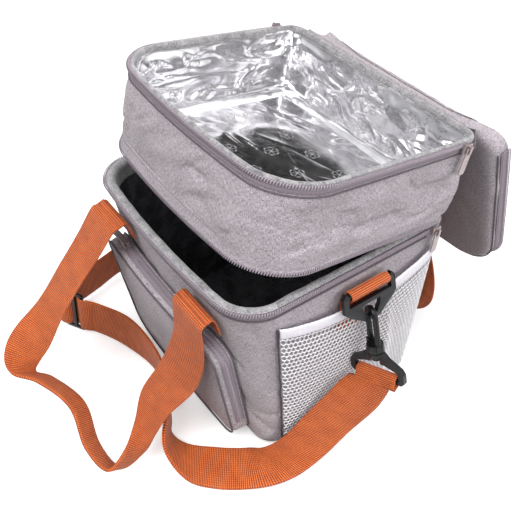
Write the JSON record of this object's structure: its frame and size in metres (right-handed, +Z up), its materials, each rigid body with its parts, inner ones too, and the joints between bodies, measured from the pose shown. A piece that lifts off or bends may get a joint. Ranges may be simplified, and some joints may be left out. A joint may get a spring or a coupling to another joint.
{
  "type": "insulated cooler bag",
  "caption": "Stacked insulated cooler bag: lower box, hinged foil-lined tray with a fold-back zip lid, front pocket, side nets, webbing handles and a hooked shoulder strap.",
  "frame": {"origin": "middle of the lower box's flat underside", "axes": "+Z up, +X to the bag's own right, -Y out of the front with the pocket"},
  "size_m": [0.367, 0.4759, 0.3114],
  "materials": {
    "grey_fabric": "melange polyester canvas, warm grey, matt",
    "felt": "light grey facing, matt",
    "foam": "closed-cell foam sheet between the shell and the liner, counted as fabric for its low weight",
    "black_liner": "black coated sheet, glossy",
    "foil": "silver metallised film, crumpled",
    "zip_tape": "grey zip tape with a coil",
    "orange_webbing": "orange ribbed polypropylene webbing",
    "black_plastic": "black moulded acetal",
    "white_net": "white hexagonal mesh and elastic",
    "zip_metal": "grey painted zinc",
    "board": "stiffening board under the lining"
  },
  "bodies": {
    "lower_box": {"lower_shell": "grey_fabric", "base_board": "board", "lower_foam": "foam", "lower_floor_foam": "foam", "lower_liner": "black_liner", "lower_rim_facing": "felt", "lower_zip": "zip_tape", "tray_hinge_strip": "grey_fabric", "pocket_shell": "grey_fabric", "pocket_zip": "zip_tape", "net_right": "white_net", "net_hem_right": "white_net", "net_left": "white_net", "net_hem_left": "white_net", "handle_front_anchor_left": "orange_webbing", "handle_front_anchor_right": "orange_webbing", "handle_back_anchor_left": "orange_webbing", "handle_back_anchor_right": "orange_webbing", "keeper_right": "orange_webbing", "keeper_left": "orange_webbing", "hook_base_right": "black_plastic", "hook_base_left": "black_plastic", "strap_doubled": "orange_webbing", "strap_single": "orange_webbing", "strap_slider": "black_plastic"},
    "tray": {"tray_shell": "grey_fabric", "tray_foam": "foam", "tray_floor_foam": "foam", "tray_liner": "foil", "tray_rim_facing": "felt", "tray_top_zip": "zip_tape", "tray_low_zip": "zip_tape", "tray_back_strip": "grey_fabric", "tray_top_strip": "grey_fabric"},
    "lid_panel": {"lid_hinge_panel": "grey_fabric"},
    "lid": {"lid_shell": "grey_fabric", "lid_foam": "foam", "lid_liner": "foil", "lid_zip": "zip_tape", "lid_hinge_flap": "grey_fabric"},
    "front_handle": {"handle_front": "orange_webbing"},
    "back_handle": {"handle_back": "orange_webbing"},
    "right_ring": {"ring_right": "black_plastic"},
    "left_ring": {"ring_left": "black_plastic"},
    "right_hook": {"hook_right": "black_plastic"},
    "left_hook": {"hook_left": "black_plastic"},
    "right_gate": {"hook_gate_right": "black_plastic"},
    "left_gate": {"hook_gate_left": "black_plastic"},
    "lower_right_slider": {"lower_zip_right_slider": "zip_metal"},
    "lower_left_slider": {"lower_zip_left_slider": "zip_metal"},
    "top_right_slider": {"top_zip_right_slider": "zip_metal"},
    "top_left_slider": {"top_zip_left_slider": "zip_metal"},
    "pocket_slider": {"pocket_zip_slider": "zip_metal"},
    "lower_right_pull": {"lower_zip_right_pull": "zip_metal"},
    "lower_left_pull": {"lower_zip_left_pull": "zip_metal"},
    "top_right_pull": {"top_zip_right_pull": "zip_metal"},
    "top_left_pull": {"top_zip_left_pull": "zip_metal"},
    "pocket_pull": {"pocket_zip_pull": "zip_metal"}
  },
  "joints": [
    {"name": "tray_hinge", "type": "hinge", "parent": "lower_box", "child": "tray", "pos_m": [0, 0.0977, 0.2069], "axis": [-1, 0, 0], "range_deg": [-8, 13]},
    {"name": "lid_panel_hinge", "type": "hinge", "parent": "tray", "child": "lid_panel", "pos_m": [0, 0.1091, 0.28295], "axis": [-1, 0, 0], "range_deg": [-112, 2]},
    {"name": "lid_hinge", "type": "hinge", "parent": "lid_panel", "child": "lid", "pos_m": [0, 0.12607, 0.27315], "axis": [-1, 0, 0], "range_deg": [-131, 2]},
    {"name": "front_handle_swing", "type": "hinge", "parent": "lower_box", "child": "front_handle", "pos_m": [0, -0.136, 0.1904], "axis": [-1, 0, 0], "range_deg": [0, 115]},
    {"name": "back_handle_swing", "type": "hinge", "parent": "lower_box", "child": "back_handle", "pos_m": [0, 0.0972, 0.17], "axis": [1, 0, 0], "range_deg": [0, 16]},
    {"name": "right_ring_hinge", "type": "hinge", "parent": "lower_box", "child": "right_ring", "pos_m": [0.1272, -0.005, 0.187], "axis": [0, -1, 0], "range_deg": [-1.5, 1.5]},
    {"name": "left_ring_hinge", "type": "hinge", "parent": "lower_box", "child": "left_ring", "pos_m": [-0.1272, -0.005, 0.187], "axis": [0, 1, 0], "range_deg": [-1.5, 1.5]},
    {"name": "right_hook_swivel", "type": "hinge", "parent": "lower_box", "child": "right_hook", "pos_m": [0.14888, -0.005, 0.12742], "axis": [-0.342, 0, 0.9397], "range_deg": [-9, 9]},
    {"name": "left_hook_swivel", "type": "hinge", "parent": "lower_box", "child": "left_hook", "pos_m": [-0.14888, -0.005, 0.12742], "axis": [0.342, 0, 0.9397], "range_deg": [-9, 9]},
    {"name": "right_gate_hinge", "type": "hinge", "parent": "right_hook", "child": "right_gate", "pos_m": [0.13825, -0.00285, 0.13473], "axis": [0.259, 0.9613, 0.0943], "range_deg": [0, 20], "stiffness_Nm_per_rad": 0.02, "springref_deg": -11.46},
    {"name": "left_gate_hinge", "type": "hinge", "parent": "left_hook", "child": "left_gate", "pos_m": [-0.13825, -0.00285, 0.13473], "axis": [0.259, -0.9613, -0.0943], "range_deg": [0, 20], "stiffness_Nm_per_rad": 0.02, "springref_deg": -11.46},
    {"name": "lower_right_zip_run", "type": "slide", "parent": "lower_box", "child": "lower_right_slider", "axis": [0, -1, 0], "range_m": [0, 0.05]},
    {"name": "lower_left_zip_run", "type": "slide", "parent": "lower_box", "child": "lower_left_slider", "axis": [0, -1, 0], "range_m": [0, 0.05]},
    {"name": "top_right_zip_run", "type": "slide", "parent": "tray", "child": "top_right_slider", "axis": [0, -0.9903, 0.1392], "range_m": [0, 0.11]},
    {"name": "top_left_zip_run", "type": "slide", "parent": "tray", "child": "top_left_slider", "axis": [0, -0.9903, 0.1392], "range_m": [0, 0.11]},
    {"name": "pocket_zip_run", "type": "slide", "parent": "lower_box", "child": "pocket_slider", "axis": [1, 0, 0], "range_m": [0, 0.12]},
    {"name": "lower_right_pull_hinge", "type": "hinge", "parent": "lower_right_slider", "child": "lower_right_pull", "pos_m": [0.12385, 0.075, 0.2038], "axis": [0, -1, 0], "range_deg": [0, 110]},
    {"name": "lower_left_pull_hinge", "type": "hinge", "parent": "lower_left_slider", "child": "lower_left_pull", "pos_m": [-0.12385, 0.075, 0.2038], "axis": [0, 1, 0], "range_deg": [0, 110]},
    {"name": "top_right_pull_hinge", "type": "hinge", "parent": "top_right_slider", "child": "top_right_pull", "pos_m": [0.12465, 0.08457, 0.28377], "axis": [0, -0.9903, 0.1392], "range_deg": [0, 110]},
    {"name": "top_left_pull_hinge", "type": "hinge", "parent": "top_left_slider", "child": "top_left_pull", "pos_m": [-0.12465, 0.08457, 0.28377], "axis": [0, 0.9903, -0.1392], "range_deg": [0, 110]},
    {"name": "pocket_pull_hinge", "type": "hinge", "parent": "pocket_slider", "child": "pocket_pull", "pos_m": [-0.0618, -0.12699, 0.15625], "axis": [0, 1, 0], "range_deg": [0, 26]}
  ],
  "couplings": [
    {"joint": "lid_panel_hinge", "follows": "lid_hinge", "ratio": 0.85496}
  ]
}
